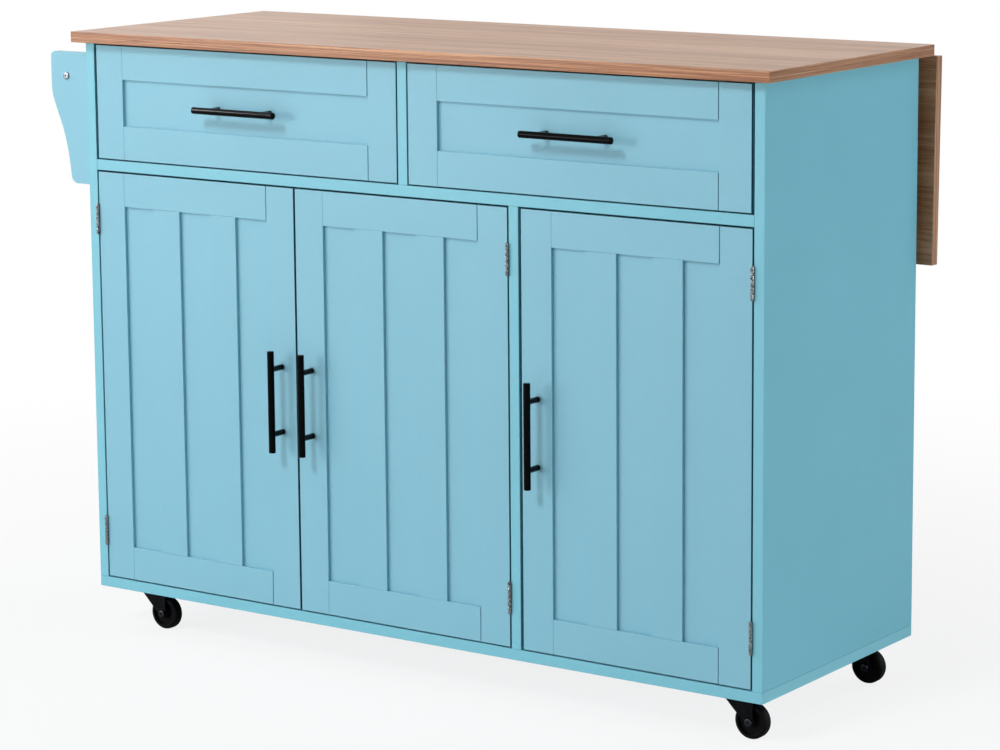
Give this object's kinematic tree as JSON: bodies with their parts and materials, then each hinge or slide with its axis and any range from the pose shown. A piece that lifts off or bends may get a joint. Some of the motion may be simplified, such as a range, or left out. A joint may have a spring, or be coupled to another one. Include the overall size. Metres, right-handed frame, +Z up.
{
  "type": "rolling sideboard",
  "caption": "Rolling kitchen sideboard with drawers above panelled cupboard doors, a drop leaf behind the worktop, a towel bar at one end and swivel casters.",
  "frame": {"origin": "on the floor, in the middle of the whole object's plan", "axes": "+X to the right along the front, +Y from the front to the back, +Z up"},
  "size_m": [1.269, 0.4928, 0.914],
  "materials": {
    "painted_board": "satin aqua paint on board",
    "woodgrain_board": "matt oak-like grain",
    "black_metal": "matt black powder coat",
    "steel": "zinc plated",
    "caster_polymer": "moulded",
    "catch_plastic": "moulded"
  },
  "bodies": {
    "carcass": {"base_board": "painted_board", "side_panel_left": "painted_board", "side_panel_right": "painted_board", "centre_partition": "painted_board", "drawer_shelf": "painted_board", "drawer_divider": "painted_board", "back_panel": "painted_board", "worktop": "woodgrain_board", "shelf_left": "painted_board", "shelf_right": "painted_board", "towel_brackets": "painted_board", "towel_bar": "woodgrain_board", "shelf_pins": "steel", "carcass_screws": "steel", "door_hinge_frame_leaves": "steel", "hinge_pins": "steel", "door_catches": "catch_plastic", "drawer_slide_rails": "steel", "leaf_hinge_plates": "steel", "stay_brackets": "steel", "caster_plates": "black_metal"},
    "door_left": {"door_left_panel": "painted_board", "door_left_face_strips": "painted_board", "door_left_handle": "black_metal", "door_left_hinge_leaves": "steel", "door_left_fixings": "steel"},
    "door_middle": {"door_middle_panel": "painted_board", "door_middle_face_strips": "painted_board", "door_middle_handle": "black_metal", "door_middle_hinge_leaves": "steel", "door_middle_fixings": "steel"},
    "door_right": {"door_right_panel": "painted_board", "door_right_face_strips": "painted_board", "door_right_handle": "black_metal", "door_right_hinge_leaves": "steel", "door_right_fixings": "steel"},
    "drawer_left": {"drawer_left_front_panel": "painted_board", "drawer_left_face_strips": "painted_board", "drawer_left_box": "painted_board", "drawer_left_handle": "black_metal", "drawer_left_runners": "steel"},
    "drawer_right": {"drawer_right_front_panel": "painted_board", "drawer_right_face_strips": "painted_board", "drawer_right_box": "painted_board", "drawer_right_handle": "black_metal", "drawer_right_runners": "steel"},
    "drop_leaf_assembly": {"drop_leaf": "woodgrain_board", "leaf_hinge_flaps": "steel", "leaf_screws": "steel", "stay_rails": "steel"},
    "strut_left": {"stay_strut_left": "steel"},
    "strut_right": {"stay_strut_right": "steel"},
    "fork_front_left": {"caster_front_left_fork": "black_metal"},
    "wheel_front_left": {"caster_front_left_wheel": "caster_polymer"},
    "fork_front_right": {"caster_front_right_fork": "black_metal"},
    "wheel_front_right": {"caster_front_right_wheel": "caster_polymer"},
    "fork_rear_left": {"caster_rear_left_fork": "black_metal"},
    "wheel_rear_left": {"caster_rear_left_wheel": "caster_polymer"},
    "fork_rear_right": {"caster_rear_right_fork": "black_metal"},
    "wheel_rear_right": {"caster_rear_right_wheel": "caster_polymer"}
  },
  "joints": [
    {"name": "door_left_hinge", "type": "hinge", "parent": "carcass", "child": "door_left", "pos_m": [-0.5373, -0.21798, 0.39375], "axis": [0, 0, -1], "range_deg": [0, 110]},
    {"name": "door_middle_hinge", "type": "hinge", "parent": "carcass", "child": "door_middle", "pos_m": [0.2113, -0.21798, 0.39375], "axis": [0, 0, 1], "range_deg": [0, 110]},
    {"name": "door_right_hinge", "type": "hinge", "parent": "carcass", "child": "door_right", "pos_m": [0.6023, -0.21798, 0.39375], "axis": [0, 0, 1], "range_deg": [0, 110]},
    {"name": "drawer_left_slide", "type": "slide", "parent": "carcass", "child": "drawer_left", "axis": [0, -1, 0], "range_m": [0, 0.3]},
    {"name": "drawer_right_slide", "type": "slide", "parent": "carcass", "child": "drawer_right", "axis": [0, -1, 0], "range_m": [0, 0.3]},
    {"name": "leaf_hinge", "type": "hinge", "parent": "carcass", "child": "drop_leaf_assembly", "pos_m": [0.0325, 0.22682, 0.8945], "axis": [1, 0, 0], "range_deg": [0, 91.34]},
    {"name": "stay_left_pivot", "type": "hinge", "parent": "carcass", "child": "strut_left", "pos_m": [-0.3495, 0.21412, 0.7945], "axis": [1, 0, 0], "range_deg": [0, 121.05]},
    {"name": "stay_right_pivot", "type": "hinge", "parent": "carcass", "child": "strut_right", "pos_m": [0.4145, 0.21412, 0.7945], "axis": [1, 0, 0], "range_deg": [0, 121.05]},
    {"name": "caster_front_left_swivel", "type": "hinge", "parent": "carcass", "child": "fork_front_left", "pos_m": [-0.488, -0.16758, 0.0587], "axis": [0, 0, 1], "continuous": true},
    {"name": "caster_front_left_axle", "type": "hinge", "parent": "fork_front_left", "child": "wheel_front_left", "pos_m": [-0.464, -0.16758, 0.025], "axis": [0, 1, 0], "continuous": true},
    {"name": "caster_front_right_swivel", "type": "hinge", "parent": "carcass", "child": "fork_front_right", "pos_m": [0.553, -0.16758, 0.0587], "axis": [0, 0, 1], "continuous": true},
    {"name": "caster_front_right_axle", "type": "hinge", "parent": "fork_front_right", "child": "wheel_front_right", "pos_m": [0.577, -0.16758, 0.025], "axis": [0, 1, 0], "continuous": true},
    {"name": "caster_rear_left_swivel", "type": "hinge", "parent": "carcass", "child": "fork_rear_left", "pos_m": [-0.488, 0.15682, 0.0587], "axis": [0, 0, 1], "continuous": true},
    {"name": "caster_rear_left_axle", "type": "hinge", "parent": "fork_rear_left", "child": "wheel_rear_left", "pos_m": [-0.464, 0.15682, 0.025], "axis": [0, 1, 0], "continuous": true},
    {"name": "caster_rear_right_swivel", "type": "hinge", "parent": "carcass", "child": "fork_rear_right", "pos_m": [0.553, 0.15682, 0.0587], "axis": [0, 0, 1], "continuous": true},
    {"name": "caster_rear_right_axle", "type": "hinge", "parent": "fork_rear_right", "child": "wheel_rear_right", "pos_m": [0.577, 0.15682, 0.025], "axis": [0, 1, 0], "continuous": true}
  ],
  "couplings": [
    {"joint": "stay_left_pivot", "follows": "leaf_hinge", "ratio": 1.3242},
    {"joint": "stay_right_pivot", "follows": "leaf_hinge", "ratio": 1.3242}
  ]
}
